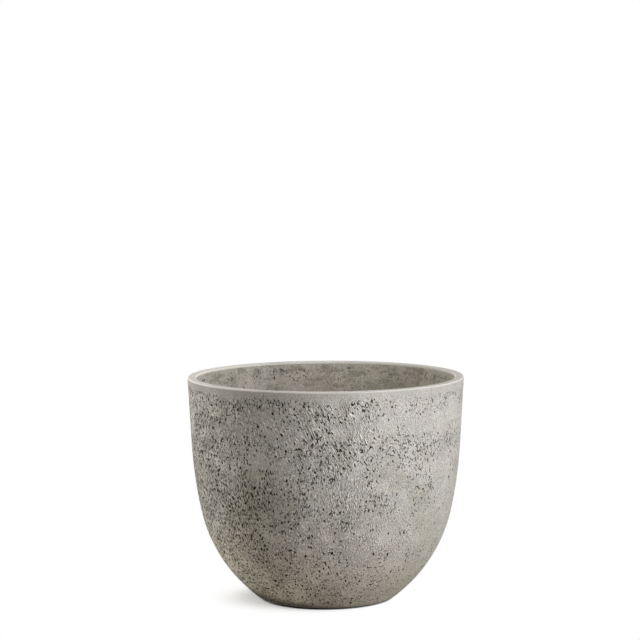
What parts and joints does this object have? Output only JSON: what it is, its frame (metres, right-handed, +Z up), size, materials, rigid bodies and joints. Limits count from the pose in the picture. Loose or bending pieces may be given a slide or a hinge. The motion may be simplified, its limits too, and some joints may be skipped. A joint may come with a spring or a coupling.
{
  "type": "concrete bowl planter",
  "caption": "Round free-standing bowl planter in cast concrete, with a leaning wall, a curved belly, a flat base and a plugged drain hole.",
  "frame": {"origin": "centre of the ring of foot pads, on the plane that the pads stand on", "axes": "+Z up along the bowl's axis; +X through the first foot pad; the bowl is round, so +Y is free"},
  "size_m": [0.3798, 0.3798, 0.307],
  "materials": {
    "concrete": "raw cast concrete, pitted, matt",
    "plug_rubber": "moulded, satin",
    "pad_rubber": "matt"
  },
  "bodies": {
    "bowl": {"bowl": "concrete", "foot_pad_1": "pad_rubber", "foot_pad_2": "pad_rubber", "foot_pad_3": "pad_rubber", "foot_pad_4": "pad_rubber"},
    "drain_plug": {"drain_plug": "plug_rubber"}
  },
  "joints": [
    {"name": "plug_lift", "type": "slide", "parent": "bowl", "child": "drain_plug", "axis": [0, 0, 1], "range_m": [0, 0.33]}
  ]
}
